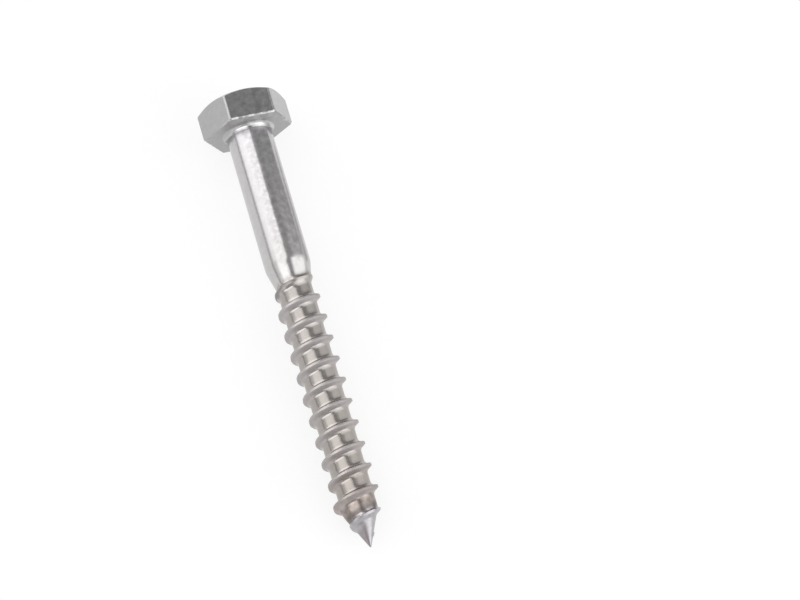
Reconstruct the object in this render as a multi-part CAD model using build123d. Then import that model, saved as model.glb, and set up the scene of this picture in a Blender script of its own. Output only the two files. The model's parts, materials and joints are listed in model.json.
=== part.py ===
from build123d import *
import math
import os

# Hex lag screw (coach screw), cold headed and thread rolled from one bar of stainless steel.
# Millimetres. The screw is drawn with its axis along +X, from the underside of the head to the
# point, and is then laid down as it comes to rest: on one flat of the head and a thread crest.
# The origin of the finished part is the centre of its footprint, on the ground.

# Head
across_flats = 13.0
head_height = 5.15
head_corner_radius = 0.4
bearing_edge_chamfer = 0.2
top_face_diameter = 11.9
top_chamfer_angle = 30.0

# Plain shank, measured from the underside of the head
length_under_head = 71.5
shank_diameter = 7.46
under_head_fillet = 0.45
plain_shank_length = 24.1
shank_shoulder_radius = 5.0
shank_end_taper_angle = 13.7

# Thread core and gimlet point
core_diameter = 5.66
point_half_angle = 25.0
point_tip_radius = 0.2

# Thread ridge, one start, right hand
pitch = 3.6
crest_diameter = 7.5
crest_width = 0.24
flank_angle = 30.0
thread_start = 26.45
run_in_length = 2.2
run_in_ridge_height = 0.66
full_thread_start = 32.0
flare_diameter = 7.9
flare_length = 1.8
flare_to_tip = 7.3
point_ridge_height = 0.55
point_ridge_to_tip = 5.4
point_ridge_end_height = 0.24
point_ridge_end_to_tip = 2.1
ridge_vanishes_to_tip = 1.2

# How far the ridge and the shaft reach into what they are fused to, and the ridge's strips in a turn
ridge_root_depth = 0.35
ridge_end_depth = 0.1
shaft_depth_in_head = 1.0
strips_per_turn = 6


def rise(angle):
    """Rise for one unit of run along a line at this angle in degrees."""
    return math.tan(math.radians(angle))


head_half_width = across_flats / 2
shank_radius = shank_diameter / 2
plain_core_radius = core_diameter / 2
full_ridge_height = crest_diameter / 2 - plain_core_radius
flare_height = flare_diameter / 2 - plain_core_radius
taper_end = plain_shank_length + (shank_radius - plain_core_radius) / rise(shank_end_taper_angle)
cone_apex = length_under_head + point_tip_radius * (1 / math.sin(math.radians(point_half_angle)) - 1)
cone_start = cone_apex - plain_core_radius / rise(point_half_angle)

# Height of the ridge's crest above the core, at distances from the underside of the head
ridge_stations = (
    (thread_start, -ridge_end_depth),
    (thread_start + run_in_length, run_in_ridge_height),
    (full_thread_start, full_ridge_height),
    (length_under_head - flare_to_tip - flare_length, full_ridge_height),
    (length_under_head - flare_to_tip, flare_height),
    (length_under_head - point_ridge_to_tip, point_ridge_height),
    (length_under_head - point_ridge_end_to_tip, point_ridge_end_height),
    (length_under_head - ridge_vanishes_to_tip, -ridge_end_depth),
)
thread_end = ridge_stations[-1][0]


def core_radius(x):
    """Radius under the ridge at x: end taper of the shank, thread core, then the point's cone."""
    on_taper = plain_core_radius + (taper_end - x) * rise(shank_end_taper_angle)
    on_cone = (cone_apex - x) * rise(point_half_angle)
    return min(shank_radius, on_cone, max(plain_core_radius, on_taper))


def ridge_height(x):
    """Height of the crest above the core at x, straight from one station to the next."""
    for (x0, height0), (x1, height1) in zip(ridge_stations, ridge_stations[1:]):
        if x <= x1:
            return height0 + (height1 - height0) * (x - x0) / (x1 - x0)
    return ridge_stations[-1][1]


def crest_radius(x):
    """Radius of the thread's crest at x."""
    return core_radius(x) + ridge_height(x)


def on_helix(x, offset, radius):
    """Point at x + offset and this radius, in the direction that the helix faces at x."""
    angle = math.tau * (x - thread_start) / pitch
    return Vector(x + offset, radius * math.cos(angle), radius * math.sin(angle))


def crest_corner(x, side):
    """Corner of the ridge's section at its crest, on the head's side (-1) or the point's (1)."""
    return on_helix(x, side * crest_width / 2, crest_radius(x))


def root_corner(x, side):
    """Corner of the ridge's section at its root, inside the core."""
    flank_run = (ridge_height(x) + ridge_root_depth) * rise(flank_angle)
    offset = side * (crest_width / 2 + flank_run)
    return on_helix(x, offset, core_radius(x + offset) - ridge_root_depth)


def ridge_edge(corner, side, x0, x1):
    """One edge of a strip: a cubic curve along the helix, tangent to it at x0 and x1."""
    step = (x1 - x0) / 100
    start, end = corner(x0, side), corner(x1, side)
    slopes = [(corner(x + step, side) - corner(x - step, side)) / (2 * step) for x in (x0, x1)]
    start_handle, end_handle = [slope * (x1 - x0) / 3 for slope in slopes]
    return Edge.make_bezier(start, start + start_handle, end - end_handle, end)


def make_ridge():
    """The thread's ridge: a closed skin of smooth ruled strips, several to a turn."""
    corners = ((root_corner, -1), (crest_corner, -1), (crest_corner, 1), (root_corner, 1))
    strips = math.ceil(strips_per_turn * (thread_end - thread_start) / pitch)
    breaks = [thread_start + (thread_end - thread_start) * i / strips for i in range(strips + 1)]
    faces = []
    for x in (thread_start, thread_end):
        section = Wire.make_polygon([corner(x, side) for corner, side in corners], close=True)
        faces.append(Face(section))
    for x0, x1 in zip(breaks, breaks[1:]):
        edges = [ridge_edge(corner, side, x0, x1) for corner, side in corners]
        for first, second in zip(edges, edges[1:] + edges[:1]):
            faces.append(Face.make_surface_from_curves(first, second))
    return Solid(Shell(faces))


def make_head():
    """Hexagon with rounded corners, a broken bearing edge and a conical chamfer at its top."""
    hexagon = RegularPolygon(head_half_width, 6, major_radius=False)
    hexagon = fillet(hexagon.vertices(), head_corner_radius)
    blank = extrude(Plane.YZ * hexagon, -head_height)
    blank = chamfer(blank.edges().group_by(Axis.X)[-1], bearing_edge_chamfer)
    top_radius = top_face_diameter / 2
    cone_outline = Polyline(
        (-head_height, 0),
        (-head_height, top_radius),
        (-head_height + (across_flats - top_radius) * rise(top_chamfer_angle), across_flats),
        (0, across_flats),
        (0, 0),
        close=True,
    )
    return blank & revolve(make_face(cone_outline), Axis.X)


def make_shaft():
    """Under-head fillet, shank, end taper, thread core and point, turned as one outline."""
    half_angle = math.radians(point_half_angle)
    tip_centre_x = length_under_head - point_tip_radius
    collar_radius = shank_radius + 2 * under_head_fillet
    side = Polyline(
        (-shaft_depth_in_head, 0),
        (-shaft_depth_in_head, collar_radius),
        (0, collar_radius),
        (0, shank_radius),
        (plain_shank_length, shank_radius),
        (taper_end, plain_core_radius),
        (cone_start, plain_core_radius),
        (
            tip_centre_x + point_tip_radius * math.sin(half_angle),
            point_tip_radius * math.cos(half_angle),
        ),
    )
    tip = CenterArc((tip_centre_x, 0), point_tip_radius, 90 - point_half_angle, point_half_angle - 90)
    screw_axis = Line((length_under_head, 0), (-shaft_depth_in_head, 0))
    outline = make_face([*side.edges(), *tip.edges(), *screw_axis.edges()])
    for corner, radius in (
        ((0, shank_radius), under_head_fillet),
        ((plain_shank_length, shank_radius), shank_shoulder_radius),
    ):
        outline = fillet(outline.vertices().sort_by_distance(corner)[0], radius)
    return revolve(outline, Axis.X)


def rest_angle():
    """Tilt at which the head's lower flat and the lowest thread crest touch level ground."""
    slopes = []
    x = thread_start + 3 / 4 * pitch
    while x < thread_end:
        contact_run = x + crest_width / 2 + bearing_edge_chamfer
        slopes.append((head_half_width - crest_radius(x)) / contact_run)
        x += pitch
    return math.degrees(math.atan(min(slopes)))


def make_screw():
    """The whole screw in one piece, lying on the ground with its point towards +X."""
    screw = make_shaft() + make_ridge() + make_head()
    screw = Rot(0, rest_angle(), 0) * screw
    box = screw.bounding_box()
    return Pos(-box.center().X, -box.center().Y, -box.min.Z) * screw


os.makedirs("parts", exist_ok=True)
export_step(make_screw(), "parts/lag_screw.step")
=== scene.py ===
import json
import math

import bpy
from mathutils import Matrix, Quaternion, Vector, noise


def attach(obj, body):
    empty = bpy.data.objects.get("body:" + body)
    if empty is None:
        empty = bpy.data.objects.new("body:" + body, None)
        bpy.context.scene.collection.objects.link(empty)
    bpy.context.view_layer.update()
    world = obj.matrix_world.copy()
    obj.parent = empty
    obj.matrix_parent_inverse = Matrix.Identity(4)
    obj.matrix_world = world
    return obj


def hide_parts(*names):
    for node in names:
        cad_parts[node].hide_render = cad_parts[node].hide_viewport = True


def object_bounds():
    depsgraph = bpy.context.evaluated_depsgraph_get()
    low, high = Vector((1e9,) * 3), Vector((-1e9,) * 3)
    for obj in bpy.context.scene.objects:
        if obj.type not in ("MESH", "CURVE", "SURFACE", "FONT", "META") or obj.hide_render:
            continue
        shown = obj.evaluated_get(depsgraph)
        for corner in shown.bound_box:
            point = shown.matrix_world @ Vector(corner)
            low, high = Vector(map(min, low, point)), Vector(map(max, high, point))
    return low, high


# Lag screw dressed for looks: one closed mesh with the thread, shank and head in full detail.
# Sizes in the dictionaries are millimetres, measured from the underside of the head.

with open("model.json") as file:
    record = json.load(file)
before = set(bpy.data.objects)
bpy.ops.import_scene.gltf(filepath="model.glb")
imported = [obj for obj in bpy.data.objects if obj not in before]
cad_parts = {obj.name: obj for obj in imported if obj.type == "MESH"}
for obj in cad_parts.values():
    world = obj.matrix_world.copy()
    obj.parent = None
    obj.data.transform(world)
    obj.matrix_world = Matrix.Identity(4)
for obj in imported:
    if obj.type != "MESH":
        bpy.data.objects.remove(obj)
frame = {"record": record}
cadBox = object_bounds()
mm = 0.001
slack = mm / 100      # a point this near its place is picked
weld = mm / 1000      # points this near each other are made one
mounts = {mount["name"]: mount for mount in frame["record"]["mounts"]}
screwAxis = Vector(mounts["plain_shank"]["axis"]).normalized()
shankCentre = Vector(mounts["plain_shank"]["pos_m"])
toHead = Vector(mounts["under_head_face"]["pos_m"]) - shankCentre
underHead = shankCentre + screwAxis * screwAxis.dot(toHead)
restTilt = math.atan2(-screwAxis.z, screwAxis.x)
restPose = Matrix.Translation(underHead) @ Matrix.Rotation(restTilt, 4, "Y")
print("frame loaded, screw tilted", round(math.degrees(restTilt), 3), "degrees")


def makeActive(obj):
    bpy.ops.object.select_all(action="DESELECT")
    obj.select_set(True)
    bpy.context.view_layer.objects.active = obj


def editMode(obj):
    makeActive(obj)
    bpy.ops.object.mode_set(mode="EDIT")
    bpy.ops.mesh.select_all(action="DESELECT")


def objectMode():
    bpy.ops.object.mode_set(mode="OBJECT")


def applyModifier(obj, name, kind, **settings):
    modifier = obj.modifiers.new(name, kind)
    for key, value in settings.items():
        setattr(modifier, key, value)
    makeActive(obj)
    bpy.ops.object.modifier_apply(modifier=modifier.name)


def selectEdges(obj, wanted, onlySelected=False):
    # edges with both ends where they are wanted, of all edges or of those selected now;
    # the flags are set in object mode and hold in edit mode
    objectMode()
    bpy.context.tool_settings.mesh_select_mode = (False, True, False)
    mesh = obj.data
    picked = []
    for edge in mesh.edges:
        inPlace = all(wanted(mesh.vertices[i].co) for i in edge.vertices)
        picked.append(inPlace and (edge.select or not onlySelected))
    for item in (*mesh.vertices, *mesh.edges, *mesh.polygons):
        item.select = False
    for edge, pick in zip(mesh.edges, picked):
        edge.select = pick
    bpy.ops.object.mode_set(mode="EDIT")


def extrudeAlong(run):
    # the selected loop is carried along the axis
    bpy.ops.mesh.extrude_edges_move(TRANSFORM_OT_translate={"value": (run, 0, 0)})


def extrudeRing(run, scale, centreX):
    # the same, and made wider or narrower
    extrudeAlong(run)
    bpy.ops.transform.resize(value=(1, scale, scale), center_override=(centreX, 0, 0))


def extrudeOutline(outline):
    # the selected loop is carried through the outline's places and radii, in mm
    for (x0, radius0), (x1, radius1) in zip(outline, outline[1:]):
        extrudeRing((x1 - x0) * mm, radius1 / radius0, x1 * mm)


def weldPoints(obj):
    editMode(obj)
    bpy.ops.mesh.select_all(action="SELECT")
    bpy.ops.mesh.remove_doubles(threshold=weld)
    objectMode()


def arcPoints(centre, radius, start, end, steps):
    # points along an arc in the plane of the axis and the radius, angles in degrees
    angles = [math.radians(start + (end - start) * i / steps) for i in range(steps + 1)]
    return [(centre[0] + radius * math.cos(a), centre[1] + radius * math.sin(a)) for a in angles]


threadShape = {
    "start": 26.45, "pitch": 3.6, "coreDiameter": 5.66, "crestDiameter": 7.5, "crestRadius": 0.07,
    "headSide": {"crestHalf": 0.22, "flankAngle": 10, "rootRadius": 0.75},
    "pointSide": {"crestHalf": 0.17, "flankAngle": 35, "rootRadius": 0.75},
    "seamDepth": 0.01,      # line left along the crest where the rolled metal meets
    "stepsPerTurn": 96, "rootSteps": 6, "crestSteps": 3, "turnsBefore": 2,
    "raggedness": 0.03, "raggedSize": 0.9,
    "length": 71.5, "taperStart": 24.1, "shankDiameter": 7.46, "taperAngle": 13.7,
    "pointHalfAngle": 25, "tipRadius": 0.16, "coneShoulderRadius": 2.6,
    # crest height over the core, at distances from the underside of the head
    "runIn": ((25.9, 0.0), (26.7, 0.30), (28.0, 0.42), (28.65, 0.66), (32.0, 0.92)),
    "runInShift": 0.45,
    # the same at the point, measured back from the tip
    "runOut": ((9.1, 0.92), (7.3, 1.12), (5.4, 0.55), (2.1, 0.24), (1.2, -0.1)),
}


def fullHeight():
    return (threadShape["crestDiameter"] - threadShape["coreDiameter"]) / 2


def threadStations():
    s = threadShape
    return list(s["runIn"]) + [(s["length"] - back, height) for back, height in s["runOut"]]


def ridgeHeight(x):
    stations = threadStations()
    if x <= stations[0][0]:
        return 0.0
    for (x0, height0), (x1, height1) in zip(stations, stations[1:]):
        if x <= x1:
            return max(0.0, height0 + (height1 - height0) * (x - x0) / (x1 - x0))
    return 0.0


def coreRadius(x):
    # taper, then the even core, then the cone of the point
    s = threadShape
    core = s["coreDiameter"] / 2
    taperSlope = math.tan(math.radians(s["taperAngle"]))
    taperEnd = s["taperStart"] + (s["shankDiameter"] / 2 - core) / taperSlope
    onTaper = core + (taperEnd - x) * taperSlope
    halfAngle = math.radians(s["pointHalfAngle"])
    apex = s["length"] + s["tipRadius"] * (1 / math.sin(halfAngle) - 1)
    coneStart = apex - core / math.tan(halfAngle)
    reach = s["coneShoulderRadius"] * math.tan(halfAngle / 2)
    if abs(x - coneStart) < reach:      # soft shoulder where the cone begins
        t = (x - coneStart + reach) / (2 * reach)
        return core - reach * math.tan(halfAngle) * t * t
    if onTaper >= core:
        return onTaper
    return core if x < coneStart else min((apex - x) * math.tan(halfAngle), core)


def ridgeReach(side):
    # distance from the middle of the ridge to where its root meets the land
    foot = side["crestHalf"] + fullHeight() * math.tan(math.radians(side["flankAngle"]))
    return foot + side["rootRadius"] * math.tan(math.radians(90 - side["flankAngle"]) / 2)


def ridgeSide(side):
    # half a pitch of the section: land, hollow root, flank, rounded edge of the crest
    s = threadShape
    halfPitch = s["pitch"] / 2
    angle = side["flankAngle"]
    reach = ridgeReach(side)
    root = arcPoints((reach, side["rootRadius"]), side["rootRadius"], 270, 180 + angle, s["rootSteps"])
    corner = side["crestHalf"] - s["crestRadius"] * math.tan(math.radians(90 - angle) / 2)
    crestCentre = (corner, fullHeight() - s["crestRadius"])
    edge = arcPoints(crestCentre, s["crestRadius"], angle, 90, s["crestSteps"])
    flank = ((root[-1][0] + edge[0][0]) / 2, (root[-1][1] + edge[0][1]) / 2)
    return [(halfPitch, 0), ((halfPitch + reach) / 2, 0), *root, flank, *edge]


def threadProfile():
    # one pitch of the section, from the middle of one land to the next
    headSide = [(-x, y) for x, y in ridgeSide(threadShape["headSide"])]
    seam = (0, fullHeight() - threadShape["seamDepth"])
    return headSide + [seam] + ridgeSide(threadShape["pointSide"])[::-1]


def drawProfile(obj, points):
    # one vertex drawn out into the profile
    editMode(obj)
    bpy.ops.mesh.select_all(action="SELECT")
    bpy.ops.mesh.merge(type="CENTER")
    for (x0, y0), (x1, y1) in zip(points, points[1:]):
        step = ((x1 - x0) * mm, (y1 - y0) * mm, 0)
        bpy.ops.mesh.extrude_vertices_move(TRANSFORM_OT_translate={"value": step})
    objectMode()


def shapeRidge(point):
    # the even thread eased to the ridge's height at that place: low and wide where it runs in,
    # low and narrow on the point
    s = threadShape
    x = point.x / mm
    radius = math.hypot(point.y, point.z) / mm
    angle = math.atan2(point.z, point.y)
    turn = (x - s["start"]) / s["pitch"] - angle / math.tau
    offset = (turn - math.floor(turn + 0.5)) * s["pitch"]
    ridge = x - offset
    k = ridgeHeight(ridge) / fullHeight()
    runningIn = ridge < s["runIn"][-1][0]
    width = 1.0 if runningIn else min(1.0, math.sqrt(k))
    side = s["pointSide"] if offset > 0 else s["headSide"]
    half = side["crestHalf"]
    reach = ridgeReach(side)
    size = abs(offset)
    if size <= half:
        moved = size
    elif size <= reach:
        moved = half + (size - half) * width
    else:
        newReach = half + (reach - half) * width
        landShare = (s["pitch"] / 2 - newReach) / (s["pitch"] / 2 - reach)
        moved = newReach + (size - reach) * landShare
    newX = ridge + math.copysign(moved, offset)
    if runningIn:
        newX += s["runInShift"] * (1 - k) * (1 - 2 * size / s["pitch"])
    rise = (radius - s["coreDiameter"] / 2) * k
    ragged = noise.noise(point / (s["raggedSize"] * mm)) * s["raggedness"] * rise / fullHeight()
    newRadius = coreRadius(newX) + rise + ragged
    return Vector((newX, newRadius * math.cos(angle), newRadius * math.sin(angle))) * mm


def makeThread():
    s = threadShape
    points = threadProfile()
    turns = math.ceil((s["length"] - s["start"]) / s["pitch"]) + 2 * s["turnsBefore"]
    startX = s["start"] - s["turnsBefore"] * s["pitch"] + points[0][0]
    bpy.ops.mesh.primitive_plane_add(size=mm, location=(0, 0, 0))
    thread = bpy.context.active_object
    thread.name = "lagScrewSteel"
    thread.data.transform(Matrix.Translation((startX * mm, s["coreDiameter"] / 2 * mm, 0)))
    drawProfile(thread, points)
    applyModifier(
        thread, "turns", "SCREW", axis="X", angle=math.tau, screw_offset=s["pitch"] * mm,
        iterations=turns, steps=s["stepsPerTurn"], render_steps=s["stepsPerTurn"],
    )
    weldPoints(thread)
    for vertex in thread.data.vertices:
        vertex.co = shapeRidge(vertex.co)
    weldPoints(thread)      # past the ridge's end its edges lie on each other
    return thread


shaftShape = {
    "shankShoulderRadius": 5.0, "shoulderSteps": 5,
    "filletRadius": 0.85, "filletSteps": 8,
    "shankRings": (16, 8),      # loops on the plain shank
    "threadCut": 25.2,          # the rolled mesh starts here, the shank is drawn on to it
    "tipCut": 1.25,             # and it ends this far before the tip
    "tipSteps": 5, "tipEndAngle": 10,
    "rimMerge": 0.02,           # shorter edges along a cut are merged
}


def cutAcross(obj, x, direction):
    # leaves edit mode with the cut's rim selected, free of tiny edges
    editMode(obj)
    bpy.ops.mesh.select_all(action="SELECT")
    bpy.ops.mesh.bisect(
        plane_co=(x * mm, 0, 0), plane_no=(direction, 0, 0), clear_outer=True, threshold=weld / 10,
    )
    bpy.context.tool_settings.mesh_select_mode = (False, True, False)
    bpy.ops.mesh.remove_doubles(threshold=shaftShape["rimMerge"] * mm)
    bpy.ops.mesh.select_non_manifold()
    selectEdges(obj, lambda co: abs(co.x - x * mm) < slack, onlySelected=True)


def drawShank(obj):
    s = shaftShape
    radius = threadShape["shankDiameter"] / 2
    taper = threadShape["taperAngle"]
    shoulderX = threadShape["taperStart"] - s["shankShoulderRadius"] * math.tan(math.radians(taper) / 2)
    shoulder = arcPoints(
        (shoulderX, radius - s["shankShoulderRadius"]), s["shankShoulderRadius"],
        90 - taper, 90, s["shoulderSteps"],
    )
    fillet = arcPoints(
        (s["filletRadius"], radius + s["filletRadius"]), s["filletRadius"], 270, 180, s["filletSteps"],
    )
    rings = [(x, radius) for x in s["shankRings"]]
    cutAcross(obj, s["threadCut"], -1)
    extrudeOutline([(s["threadCut"], coreRadius(s["threadCut"])), *shoulder, *rings, *fillet])
    objectMode()


def drawPoint(obj):
    s = threadShape
    cut = s["length"] - shaftShape["tipCut"]
    ball = arcPoints(
        (s["length"] - s["tipRadius"], 0), s["tipRadius"],
        90 - s["pointHalfAngle"], shaftShape["tipEndAngle"], shaftShape["tipSteps"],
    )
    cutAcross(obj, cut, 1)
    extrudeOutline([(cut, coreRadius(cut)), *ball])
    extrudeAlong((s["length"] - ball[-1][0]) * mm)
    bpy.ops.mesh.merge(type="CENTER")
    objectMode()


headShape = {
    "acrossFlats": 13.0, "height": 5.15, "cornerRadius": 0.4, "cornerSegments": 7, "flatCuts": 20,
    "topDiameter": 11.9, "chamferAngle": 30, "bearingChamfer": 0.24,
    "edgeSoftness": 0.04, "rimSoftness": 0.16, "softSegments": 3,
    "topScales": (0.9, 0.5),      # loops on the top face
    "underside": 0.35,            # width of the flat ring left open round the fillet
    "nickDepth": 0.16, "nickSize": 0.45,
}


def roundOff(mesh, x, radius):
    # the selected points are moved on to a circle round the axis
    for vertex in mesh.vertices:
        if vertex.select:
            scale = radius * mm / math.hypot(vertex.co.y, vertex.co.z)
            vertex.co = (x * mm, vertex.co.y * scale, vertex.co.z * scale)


def makeHead():
    s = headShape
    half = s["acrossFlats"] / 2
    topRadius = s["topDiameter"] / 2
    chamferSlope = math.tan(math.radians(s["chamferAngle"]))
    halfway = -s["height"] / 2 * mm
    bpy.ops.object.select_all(action="DESELECT")
    bpy.ops.mesh.primitive_circle_add(
        vertices=6, radius=half / math.cos(math.pi / 6) * mm, fill_type="NOTHING",
    )
    head = bpy.context.active_object
    head.name = "hexHead"
    mesh = head.data
    mesh.transform(Matrix.Rotation(math.pi / 2, 4, "Y"))     # flats above and below
    editMode(head)
    bpy.ops.mesh.select_all(action="SELECT")
    cornerCut = s["cornerRadius"] * math.tan(math.pi / 6) * mm
    bpy.ops.mesh.bevel(
        offset=cornerCut, segments=s["cornerSegments"], affect="VERTICES", profile=0.5,
    )
    flatEnd = math.hypot(half * mm, half * math.tan(math.pi / 6) * mm - cornerCut)
    selectEdges(head, lambda co: co.length < flatEnd + slack)
    bpy.ops.mesh.subdivide(number_cuts=s["flatCuts"])
    # flats, their far edge cut by the chamfer's cone
    bpy.ops.mesh.select_all(action="SELECT")
    extrudeAlong(-s["height"] * mm)
    objectMode()
    for vertex in mesh.vertices:
        if vertex.co.x < halfway:
            radius = math.hypot(vertex.co.y, vertex.co.z) / mm
            vertex.co.x = (-s["height"] + (radius - topRadius) * chamferSlope) * mm
    # chamfer and top face
    bpy.ops.object.mode_set(mode="EDIT")
    extrudeAlong(-s["height"] * mm)
    objectMode()
    roundOff(mesh, -s["height"], topRadius)
    bpy.ops.object.mode_set(mode="EDIT")
    for scale in s["topScales"]:
        extrudeRing(0, scale, 0)
    bpy.ops.mesh.edge_face_add()
    # underside, left open for the shank
    selectEdges(head, lambda co: abs(co.x) < slack)
    extrudeAlong(0)
    objectMode()
    opening = threadShape["shankDiameter"] / 2 + shaftShape["filletRadius"] + s["underside"]
    roundOff(mesh, 0, opening)
    bpy.ops.object.mode_set(mode="EDIT")
    # softened edges, once all the faces point the same way
    bpy.ops.mesh.select_all(action="SELECT")
    bpy.ops.mesh.normals_make_consistent(inside=False)
    outside = half * mm - slack
    selectEdges(head, lambda co: abs(co.x) < slack and co.yz.length > outside)
    bpy.ops.mesh.bevel(offset=s["bearingChamfer"] * mm, segments=1, affect="EDGES")
    topFace = -s["height"] * mm + slack
    selectEdges(head, lambda co: topFace < co.x < halfway)
    bpy.ops.mesh.bevel(offset=s["edgeSoftness"] * mm, segments=s["softSegments"], affect="EDGES")
    selectEdges(head, lambda co: co.x < topFace and co.yz.length > topRadius * mm - slack)
    bpy.ops.mesh.bevel(offset=s["rimSoftness"] * mm, segments=s["softSegments"], affect="EDGES")
    objectMode()
    # the edge of the bearing face is nicked from tumbling
    for vertex in mesh.vertices:
        onEdge = -2 * s["bearingChamfer"] * mm < vertex.co.x < -slack
        if onEdge and vertex.co.yz.length > outside:
            vertex.co.x += noise.noise(vertex.co / (s["nickSize"] * mm)) * s["nickDepth"] * mm
    return head


screwShading = {"smoothAngle": 40, "flatWeight": 80}


def openEdges(obj):
    editMode(obj)
    bpy.context.tool_settings.mesh_select_mode = (False, True, False)
    bpy.ops.mesh.select_non_manifold()
    objectMode()
    return sum(edge.select for edge in obj.data.edges)


def makeScrew():
    screw = makeThread()
    drawShank(screw)
    drawPoint(screw)
    print("shaft drawn, open edges", openEdges(screw))
    head = makeHead()
    print("head drawn, open edges", openEdges(head))
    makeActive(screw)
    head.select_set(True)
    bpy.ops.object.join()
    editMode(screw)
    bpy.context.tool_settings.mesh_select_mode = (False, True, False)
    bpy.ops.mesh.select_non_manifold()
    bpy.ops.mesh.fill()     # the flat ring between the fillet and the bearing face
    bpy.ops.mesh.select_all(action="SELECT")
    bpy.ops.mesh.normals_make_consistent(inside=False)
    objectMode()
    print("screw closed, open edges", openEdges(screw), "faces", len(screw.data.polygons))
    screw.matrix_world = restPose
    makeActive(screw)
    bpy.ops.object.transform_apply(location=True, rotation=True, scale=True)
    bpy.ops.object.shade_smooth_by_angle(angle=math.radians(screwShading["smoothAngle"]))
    applyModifier(
        screw, "flat faces first", "WEIGHTED_NORMAL", keep_sharp=True, weight=screwShading["flatWeight"],
    )
    return screw


screw = makeScrew()
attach(screw, "root")
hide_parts("lag_screw")


def linear(hexColour):
    channels = [int(hexColour[i:i + 2], 16) / 255 for i in (1, 3, 5)]
    return tuple(c / 12.92 if c <= 0.04045 else ((c + 0.055) / 1.055) ** 2.4 for c in channels) + (1.0,)


def addNode(tree, kind, settings=None, links=None):
    # one node with its settings, its input values and what feeds them
    node = tree.nodes.new(kind)
    for key, value in (settings or {}).items():
        setattr(node, key, value)
    for key, value in (links or {}).items():
        if isinstance(value, bpy.types.NodeSocket):
            tree.links.new(value, node.inputs[key])
        else:
            node.inputs[key].default_value = value
    return node


def newMaterial(name):
    material = bpy.data.materials.new(name)
    material.use_nodes = True
    material.node_tree.nodes.clear()
    return material, material.node_tree


# Where along the screw each finish starts, in mm from the underside of the head: colour, roughness.
# Past the shank the borders follow the thread.
finishZones = (
    (-5.2, "#afaeaf", 0.22),     # cold headed, then tumbled
    (0.3, "#afaeaf", 0.22),
    (0.8, "#c3c1c3", 0.21),      # drawn shank, the brightest
    (26.3, "#c2bfbf", 0.21),
    (27.1, "#a9a4a0", 0.235),    # rolled thread, warm and duller
    (59.8, "#a59f9a", 0.235),
    (60.3, "#999089", 0.25),     # an oily streak
    (61.0, "#a59e99", 0.235),
    (63.1, "#a09893", 0.25),
    (63.6, "#a0958e", 0.30),     # last turn, browned by the rolling oil
    (65.2, "#958b86", 0.30),
    (65.8, "#77706e", 0.34),     # its darkest line
    (66.3, "#77706e", 0.34),
    (66.7, "#aeabae", 0.34),     # pinched point, cool
    (71.5, "#acaaac", 0.32),
)
# Unevenness: size and depth of the dents in mm, and how finely they are broken up.
steelNoises = {
    "wave": {"size": 3.0, "depth": 0.005, "detail": 1.0},
    "mottle": {"size": 0.9, "depth": 0.002, "detail": 3.0},
    "grain": {"size": 0.4, "depth": 0.0006, "detail": 2.0},
}
steelPattern = {
    "noiseSpan": (0.3, 0.7),             # nearly all of a noise lies in here
    "fleckStrength": 0.07, "brownFleckStrength": 0.6,
    "borderRaggedness": 0.6,
    "helixSpan": (18.0, 22.0),           # the borders begin to follow the thread
    "firstRidge": 27.5, "lastRidge": 63.35,
    # within this distance of the last ridge and above these radii the finish is from further back
    "lastRidgeSpan": (1.5, 1.1), "lastRidgeRadii": (3.0, 3.3), "lastRidgeBack": 3.0,
    "scuffMiddle": -0.15,                # radians round the screw
    # share by which red, green and blue change where each is full
    "ridgeTint": (-0.12, 0.0, 0.36),
    "firstRidgeShadowTint": (-0.34, -0.35, -0.35),
    "stainTint": (-0.20, -0.26, -0.25),
# darkening for the painted shadow line where the thread starts
}
# Parts of the finish that fade in or out: what is read, its values where the fade starts and ends, and
# the strength there. Along and place are mm from the underside of the head, place going round with
# the thread, and zone is place with the last ridge kept clean. Radius is mm from the axis, turned is
# radians round it from the top, and facing is 1 where the surface looks to the point.
steelFades = {
    "brown": ("zone", (63.0, 64.0), (0.0, 1.0)),             # last turn
    "offPoint": ("zone", (66.2, 66.8), (1.0, 0.2)),
    "scuffs": ("fromScuff", (0.75, 0.4), (0.0, 0.32)),       # side that rubbed on its neighbours
    "offThread": ("along", (26.0, 22.0), (0.0, 1.0)),
    "onThread": ("along", (26.8, 29.0), (0.0, 1.0)),
    "ridgeWearAndHighlight": ("radius", (2.84, 3.0), (0.0, 0.13)),       # the roots and ridge brighter than the land: painted highlight, partly rubbed wear
    "ridgeMatt": ("radius", (3.0, 3.3), (0.0, 0.24)),        # and rougher
    "firstRidgeShadowLine": ("fromFirstRidge", (0.6, 0.3), (0.0, 1.0)),   # painted shadow along the start of the thread
    # the painted shadow line only on one side of the screw
    "firstRidgeShadowSide": ("turned", (0.0, 0.3), (0.0, 1.0)),
    "nearTip": ("place", (67.9, 68.5), (0.0, 1.0)),
    "stainSide": ("turned", (-0.1, 0.25), (0.0, 1.0)),
    "seatWearAndHighlight": ("facing", (0.3, 0.6), (0.0, 0.28)),         # painted highlight on the fillet and edge of the bearing face, partly rubbed wear
    "notFlat": ("facing", (0.99, 0.88), (0.0, 1.0)),
    "atHead": ("along", (2.0, 1.0), (0.0, 1.0)),
    # the seat's painted highlight only on one side of the screw
    "seatHighlightSide": ("turned", (0.95, 0.5), (0.0, 1.0)),
    "bearingMatt": ("facing", (0.93, 0.99), (0.0, 0.28)),
    "cornerMatt": ("radius", (7.36, 7.41), (0.0, 0.30)),     # the head's corners, worn
    "grainMatt": ("grain", (0.3, 0.7), (-0.02, 0.02)),
}


def zoneRamp(tree, position, values):
    # a ramp along the screw with one stop for each zone
    ramp = addNode(tree, "ShaderNodeValToRGB", links={"Fac": position})
    stops = ramp.color_ramp.elements
    first, last = values[0][0], values[-1][0]
    stops[0].color = values[0][1]
    stops[1].color = values[-1][1]
    for start, value in values[1:-1]:
        stops.new((start - first) / (last - first)).color = value
    return ramp.outputs["Color"]


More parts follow.
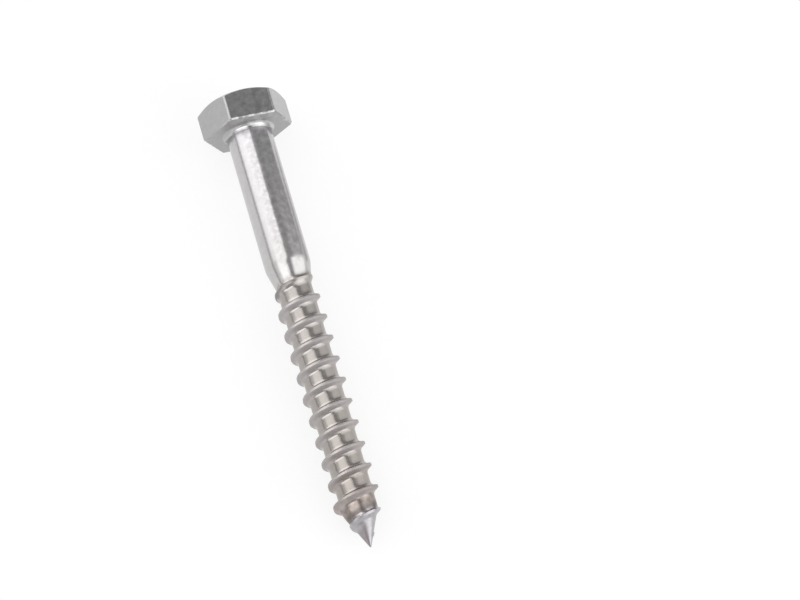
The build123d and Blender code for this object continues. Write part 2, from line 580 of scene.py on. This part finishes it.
def tumbledStainless():
    # stainless steel, cold headed, thread rolled and tumbled: a soft satin shine with a fine mottle,
    # duller and warmer where the rolling dies worked it
    material, tree = newMaterial("tumbledStainlessSteel")
    p = steelPattern
    texture = addNode(tree, "ShaderNodeTexCoord")
    steel = addNode(tree, "ShaderNodeMapping", links={
        "Vector": texture.outputs["Object"], "Location": restPose.inverted().translation / mm,
        "Rotation": (0, -restTilt, 0), "Scale": (1 / mm,) * 3,
    }).outputs["Vector"]
    axes = addNode(tree, "ShaderNodeSeparateXYZ", links={"Vector": steel})
    along = axes.outputs["X"]
    across = addNode(
        tree, "ShaderNodeVectorMath", {"operation": "MULTIPLY"}, {0: steel, 1: (0, 1, 1)},
    ).outputs[0]
    radius = addNode(
        tree, "ShaderNodeVectorMath", {"operation": "LENGTH"}, {0: across},
    ).outputs["Value"]
    facing = addNode(tree, "ShaderNodeVectorMath", {"operation": "DOT_PRODUCT"}, {
        0: texture.outputs["Normal"], 1: screwAxis,
    }).outputs["Value"]

    # three sizes of unevenness
    noises = {}
    for name, settings in steelNoises.items():
        noises[name] = addNode(tree, "ShaderNodeTexNoise", links={
            "Vector": steel, "Scale": 1 / settings["size"], "Detail": settings["detail"],
        }).outputs["Fac"]
    mottled = addNode(tree, "ShaderNodeMapRange", links={
        "Value": noises["mottle"], 1: p["noiseSpan"][0], 2: p["noiseSpan"][1], 3: -0.5, 4: 0.5,
    }).outputs[0]

    # a place along the screw that follows the helix past the shank, with a ragged border
    minusY = addNode(
        tree, "ShaderNodeMath", {"operation": "MULTIPLY"}, {0: axes.outputs["Y"], 1: -1.0},
    ).outputs[0]
    turned = addNode(
        tree, "ShaderNodeMath", {"operation": "ARCTAN2"}, {0: minusY, 1: axes.outputs["Z"]},
    ).outputs[0]
    ragged = addNode(
        tree, "ShaderNodeMath", {"operation": "MULTIPLY"}, {0: mottled, 1: p["borderRaggedness"]},
    ).outputs[0]
    slip = addNode(tree, "ShaderNodeMath", {"operation": "MULTIPLY_ADD"}, {
        0: turned, 1: -threadShape["pitch"] / math.tau, 2: ragged,
    }).outputs[0]
    pastShank = addNode(tree, "ShaderNodeMapRange", links={
        "Value": along, 1: p["helixSpan"][0], 2: p["helixSpan"][1],
    }).outputs[0]
    place = addNode(
        tree, "ShaderNodeMath", {"operation": "MULTIPLY_ADD"}, {0: slip, 1: pastShank, 2: along},
    ).outputs[0]

    # how far a point is from three marks: the first ridge, the last one and the middle of the scuffs
    away = {}
    for name, value, mark in (
        ("fromFirstRidge", place, p["firstRidge"]),
        ("fromLastRidge", place, p["lastRidge"]),
        ("fromScuff", turned, p["scuffMiddle"]),
    ):
        past = addNode(
            tree, "ShaderNodeMath", {"operation": "SUBTRACT"}, {0: value, 1: mark},
        ).outputs[0]
        away[name] = addNode(tree, "ShaderNodeMath", {"operation": "ABSOLUTE"}, {0: past}).outputs[0]

    # the ridge of the last turn stays clean, so it takes its finish from further back
    atLastRidge = addNode(tree, "ShaderNodeMapRange", links={
        "Value": away["fromLastRidge"], 1: p["lastRidgeSpan"][0], 2: p["lastRidgeSpan"][1],
    }).outputs[0]
    offCore = addNode(tree, "ShaderNodeMapRange", links={
        "Value": radius, 1: p["lastRidgeRadii"][0], 2: p["lastRidgeRadii"][1], 4: -p["lastRidgeBack"],
    }).outputs[0]
    zone = addNode(
        tree, "ShaderNodeMath", {"operation": "MULTIPLY_ADD"}, {0: atLastRidge, 1: offCore, 2: place},
    ).outputs[0]
    position = addNode(tree, "ShaderNodeMapRange", links={
        "Value": zone, 1: finishZones[0][0], 2: finishZones[-1][0],
    }).outputs[0]
    colour = zoneRamp(tree, position, [(x, linear(shade)) for x, shade, rough in finishZones])
    roughness = zoneRamp(tree, position, [(x, (rough,) * 3 + (1,)) for x, shade, rough in finishZones])

    readings = {
        "along": along, "place": place, "zone": zone, "radius": radius, "turned": turned,
        "facing": facing, **away, **noises,
    }
    fade = {}
    for name, (reading, span, strength) in steelFades.items():
        fade[name] = addNode(tree, "ShaderNodeMapRange", links={
            "Value": readings[reading], 1: span[0], 2: span[1], 3: strength[0], 4: strength[1],
        }).outputs[0]

    # darker and lighter flecks, strongest on the brown turn and among the scuffs
    browned = addNode(
        tree, "ShaderNodeMath", {"operation": "MULTIPLY"}, {0: fade["brown"], 1: fade["offPoint"]},
    ).outputs[0]
    scuffed = addNode(tree, "ShaderNodeMath", {"operation": "MULTIPLY_ADD"}, {
        0: fade["scuffs"], 1: fade["offThread"], 2: p["fleckStrength"],
    }).outputs[0]
    amount = addNode(tree, "ShaderNodeMath", {"operation": "MULTIPLY_ADD"}, {
        0: browned, 1: p["brownFleckStrength"], 2: scuffed,
    }).outputs[0]
    flecks = addNode(
        tree, "ShaderNodeMath", {"operation": "MULTIPLY_ADD"}, {0: mottled, 1: amount, 2: 1.0},
    ).outputs[0]

    # thread ridges, fillet and seat made brighter: partly rubbed wear, partly painted highlight, on the
    # seat on one side only
    ridgeTop = addNode(
        tree, "ShaderNodeMath", {"operation": "MULTIPLY"}, {0: fade["ridgeWearAndHighlight"], 1: fade["onThread"]},
    ).outputs[0]
    lift = addNode(tree, "ShaderNodeMath", {"operation": "ADD"}, {0: ridgeTop, 1: 1.0}).outputs[0]
    seatHighlightSide = addNode(
        tree, "ShaderNodeMath", {"operation": "MULTIPLY"}, {0: fade["atHead"], 1: fade["seatHighlightSide"]},
    ).outputs[0]
    seat = addNode(
        tree, "ShaderNodeMath", {"operation": "MULTIPLY"}, {0: fade["notFlat"], 1: seatHighlightSide},
    ).outputs[0]
    wearAndHighlight = addNode(
        tree, "ShaderNodeMath", {"operation": "MULTIPLY_ADD"}, {0: fade["seatWearAndHighlight"], 1: seat, 2: lift},
    ).outputs[0]
    shade = addNode(tree, "ShaderNodeMath", {"operation": "MULTIPLY"}, {0: flecks, 1: wearAndHighlight}).outputs[0]

    # tints: rubbed ridges, a painted shadow line where the thread starts, a brown patch beside the tip
    firstRidgeShadow = addNode(
        tree, "ShaderNodeMath", {"operation": "MULTIPLY"}, {0: fade["firstRidgeShadowLine"], 1: fade["firstRidgeShadowSide"]},
    ).outputs[0]
    stain = addNode(
        tree, "ShaderNodeMath", {"operation": "MULTIPLY"}, {0: fade["nearTip"], 1: fade["stainSide"]},
    ).outputs[0]
    tint = (1, 1, 1)
    for share, hue in ((ridgeTop, p["ridgeTint"]), (firstRidgeShadow, p["firstRidgeShadowTint"]), (stain, p["stainTint"])):
        tint = addNode(
            tree, "ShaderNodeVectorMath", {"operation": "MULTIPLY_ADD"}, {0: share, 1: hue, 2: tint},
        ).outputs[0]
    tinted = addNode(
        tree, "ShaderNodeVectorMath", {"operation": "MULTIPLY"}, {0: colour, 1: tint},
    ).outputs[0]
    shaded = addNode(
        tree, "ShaderNodeVectorMath", {"operation": "SCALE"}, {0: tinted, 3: shade},
    ).outputs[0]

    # roughness: grain everywhere, more on the ridges, the bearing face and the head's corners
    ridged = addNode(tree, "ShaderNodeMath", {"operation": "MULTIPLY_ADD"}, {
        0: fade["ridgeMatt"], 1: fade["onThread"], 2: fade["bearingMatt"],
    }).outputs[0]
    cornered = addNode(
        tree, "ShaderNodeMath", {"operation": "ADD"}, {0: ridged, 1: fade["cornerMatt"]},
    ).outputs[0]
    uneven = addNode(
        tree, "ShaderNodeMath", {"operation": "ADD"}, {0: cornered, 1: fade["grainMatt"]},
    ).outputs[0]
    finish = addNode(
        tree, "ShaderNodeMath", {"operation": "ADD"}, {0: roughness, 1: uneven},
    ).outputs[0]

    # dents, the larger ones first
    bumps = {}
    for name, settings in steelNoises.items():
        bump = addNode(tree, "ShaderNodeBump", links={
            "Height": noises[name], "Distance": settings["depth"] * mm, "Strength": 1.0, **bumps,
        })
        bumps = {"Normal": bump.outputs["Normal"]}

    shader = addNode(tree, "ShaderNodeBsdfPrincipled", links={
        "Base Color": shaded, "Metallic": 1.0, "Roughness": finish, **bumps,
    })
    addNode(tree, "ShaderNodeOutputMaterial", links={"Surface": shader.outputs["BSDF"]})
    return material


screw.data.materials.clear()
screw.data.materials.append(tumbledStainless())
print("screw dressed")


def seenFlag(tree):
    # 1 for rays that see the background itself: camera, glossy and transmission
    path = addNode(tree, "ShaderNodeLightPath")
    both = addNode(tree, "ShaderNodeMath", {"operation": "MAXIMUM"}, {
        0: path.outputs["Is Camera Ray"], 1: path.outputs["Is Glossy Ray"],
    })
    return addNode(tree, "ShaderNodeMath", {"operation": "MAXIMUM"}, {
        0: both.outputs[0], 1: path.outputs["Is Transmission Ray"],
    }).outputs[0]


# sizes, places and heights of the stage are metres
stageLook = {"floorSize": 8.0, "floorColour": "#949494", "floorGlow": 0.77, "worldFill": 0.5}


def makeFloor():
    bpy.ops.object.select_all(action="DESELECT")
    bpy.ops.mesh.primitive_plane_add(size=stageLook["floorSize"], location=(0, 0, 0))
    floor = bpy.context.active_object
    floor.name = "floor"
    material, tree = newMaterial("whitePaperFloor")
    paper = addNode(tree, "ShaderNodeBsdfDiffuse", links={"Color": linear(stageLook["floorColour"])})
    strength = addNode(tree, "ShaderNodeMath", {"operation": "MULTIPLY"}, {
        0: seenFlag(tree), 1: stageLook["floorGlow"],
    })
    glow = addNode(tree, "ShaderNodeEmission", links={"Strength": strength.outputs[0]})
    both = addNode(tree, "ShaderNodeAddShader", links={0: paper.outputs[0], 1: glow.outputs[0]})
    addNode(tree, "ShaderNodeOutputMaterial", links={"Surface": both.outputs[0]})
    material.cycles.emission_sampling = "NONE"     # less grain in the metal
    floor.data.materials.append(material)


def makeWorld():
    world = bpy.data.worlds.new("whiteRoom")
    bpy.context.scene.world = world
    world.use_nodes = True
    tree = world.node_tree
    tree.nodes.clear()
    strength = addNode(tree, "ShaderNodeMapRange", links={
        0: seenFlag(tree), 3: stageLook["worldFill"], 4: 1.0,
    })
    sky = addNode(tree, "ShaderNodeBackground", links={
        "Color": linear("#ffffff"), "Strength": strength.outputs[0],
    })
    addNode(tree, "ShaderNodeOutputWorld", links={"Surface": sky.outputs[0]})


# Lamps and cards stand parallel to the screw. Angles go round it from +Y up and over to -Y,
# places along it are in metres.
softboxes = {
    "keySoftbox": {"angles": (93, 169), "along": (-0.75, 0.02), "distance": 0.7, "level": 0.60},
    "keyFrontSoftbox": {"angles": (108, 169), "along": (0.02, 0.30), "distance": 0.7, "level": 0.76},
    "rightSoftbox": {"angles": (8, 74), "along": (-0.10, 0.28), "distance": 0.7, "level": 0.66},
}
sideCards = {
    "nearRightCard": {"angles": (-8, 65), "along": (-0.7, -0.074), "distance": 0.15, "level": 0.36},
    "lowRightCard": {"angles": (-8, 65), "along": (-0.074, -0.053), "distance": 0.15, "level": 0.52},
    "nearLeftCard": {"angles": (148, 169), "along": (-0.056, 0.40), "distance": 0.15, "level": 0.90},
    "rootCard": {"angles": (98, 160), "along": (0.02, 0.095), "distance": 0.12, "level": 2.3},
    "highCard": {"angles": (62, 94), "along": (-1.2, -0.12), "distance": 0.8, "level": 0.36},
    "topCard": {"angles": (80, 101), "along": (-0.12, 0.40), "distance": 0.8, "level": 0.30},
    "edgeCard": {"angles": (170, 179), "along": (-1.2, 0.30), "distance": 0.8, "level": 0.30},
}
frontCards = {
    "frontLowCard": {"x": 0.62, "yRange": (-0.9, 0.03), "zRange": (0.0, 0.5), "level": 0.54},
    "frontHighCard": {"x": 0.62, "yRange": (-0.9, 0.10), "zRange": (0.5, 1.5), "level": 0.6},
    "backCard": {"x": -0.6, "yRange": (-1.0, -0.04), "zRange": (0.04, 0.9), "level": 2.0},
}
frontSoftboxes = {
    "frontSoftbox": {"x": 0.7, "yRange": (0.06, 0.45), "zRange": (0.22, 1.40), "level": 0.5},
    "frontSideSoftbox": {"x": 0.7, "yRange": (0.45, 1.50), "zRange": (0.05, 1.10), "level": 1.0},
}
# a darker card on the floor beside the screw, seen in the metal only: painted shadow standing in for the
# floor's shade next to the screw
floorShadowCard = {"xRange": (-0.037, -0.012), "yRange": (0.016, 0.145), "height": 0.0006, "level": 0.62}


def aimedPlace(settings):
    # middle of the span and a turn that faces the screw
    middle = math.radians(sum(settings["angles"]) / 2)
    spread = math.radians(settings["angles"][1] - settings["angles"][0]) / 2
    outward = Vector((0, math.cos(middle), math.sin(middle)))
    lengthwise = Vector((1, 0, 0))
    place = outward * settings["distance"] + lengthwise * sum(settings["along"]) / 2
    turn = Matrix((lengthwise, outward.cross(lengthwise), outward)).transposed().to_4x4()
    width = 2 * settings["distance"] * math.tan(spread)
    length = settings["along"][1] - settings["along"][0]
    return Matrix.Translation(place) @ turn, length, width


def facingPlace(settings):
    # middle of an upright rectangle before or behind the screw, turned to lie across its axis
    y0, y1 = settings["yRange"]
    z0, z1 = settings["zRange"]
    middle = Matrix.Translation((settings["x"], (y0 + y1) / 2, (z0 + z1) / 2))
    return middle @ Matrix.Rotation(math.pi / 2, 4, "Y"), z1 - z0, y1 - y0


def addSoftbox(name, pose, length, width, level):
    lamp = bpy.data.lights.new(name, "AREA")
    lamp.shape = "RECTANGLE"
    lamp.size = length
    lamp.size_y = width
    lamp.energy = level * math.pi * length * width     # so the box looks that bright
    box = bpy.data.objects.new(name, lamp)
    bpy.context.scene.collection.objects.link(box)
    box.matrix_world = pose
    box.visible_camera = False


def cardMaterial(name, level):
    material, tree = newMaterial(name)
    glow = addNode(tree, "ShaderNodeEmission", links={"Strength": level})
    addNode(tree, "ShaderNodeOutputMaterial", links={"Surface": glow.outputs[0]})
    material.cycles.emission_sampling = "NONE"
    return material


def addCard(name, pose, length, width, level):
    # seen in the metal only: it sends no light and throws no shadow
    bpy.ops.object.select_all(action="DESELECT")
    bpy.ops.mesh.primitive_plane_add(size=1)
    card = bpy.context.active_object
    card.name = name
    card.matrix_world = pose @ Matrix.Diagonal((length, width, 1, 1))
    card.data.materials.append(cardMaterial(name + "Grey", level))
    card.visible_camera = False
    card.visible_diffuse = False
    card.visible_shadow = False


def makeStage():
    makeFloor()
    makeWorld()
    for add, group, findPlace in (
        (addSoftbox, softboxes, aimedPlace),
        (addSoftbox, frontSoftboxes, facingPlace),
        (addCard, sideCards, aimedPlace),
        (addCard, frontCards, facingPlace),
    ):
        for name, settings in group.items():
            add(name, *findPlace(settings), settings["level"])
    # the painted floor shadow, seen in the metal only
    (x0, x1), (y0, y1) = floorShadowCard["xRange"], floorShadowCard["yRange"]
    onFloor = Matrix.Translation(((x0 + x1) / 2, (y0 + y1) / 2, floorShadowCard["height"]))
    addCard("floorShadowCard", onFloor, x1 - x0, y1 - y0, floorShadowCard["level"])


# distance in mm, aim in mm from the middle of the screw's box
cameraView = {
    "lens": 105, "distance": 371.2, "aim": (1.14, 15.60),
    "azimuth": 54.14, "elevation": 64.94, "roll": 20.7,
}


def makeCamera():
    s = cameraView
    data = bpy.data.cameras.new("productCamera")
    data.lens = s["lens"]
    camera = bpy.data.objects.new("productCamera", data)
    bpy.context.scene.collection.objects.link(camera)
    azimuth = math.radians(s["azimuth"])
    elevation = math.radians(s["elevation"])
    level = math.cos(elevation)
    back = Vector((math.sin(azimuth) * level, -math.cos(azimuth) * level, math.sin(elevation)))
    low, high = cadBox
    aim = (low + high) / 2 + Vector((s["aim"][0], s["aim"][1], 0)) * mm
    camera.location = aim + back * s["distance"] * mm
    camera.rotation_mode = "QUATERNION"
    roll = Quaternion((0, 0, 1), math.radians(s["roll"]))
    camera.rotation_quaternion = (-back).to_track_quat("-Z", "Y") @ roll
    bpy.context.scene.camera = camera
    return camera


makeStage()
camera = makeCamera()
bpy.context.scene.view_settings.view_transform = "Standard"
bpy.context.view_layer.update()
cameraRight = [round(v, 5) for v in camera.matrix_world.col[0][:3]]
print("stage set, camera right", cameraRight, "at", [round(v, 5) for v in camera.location])
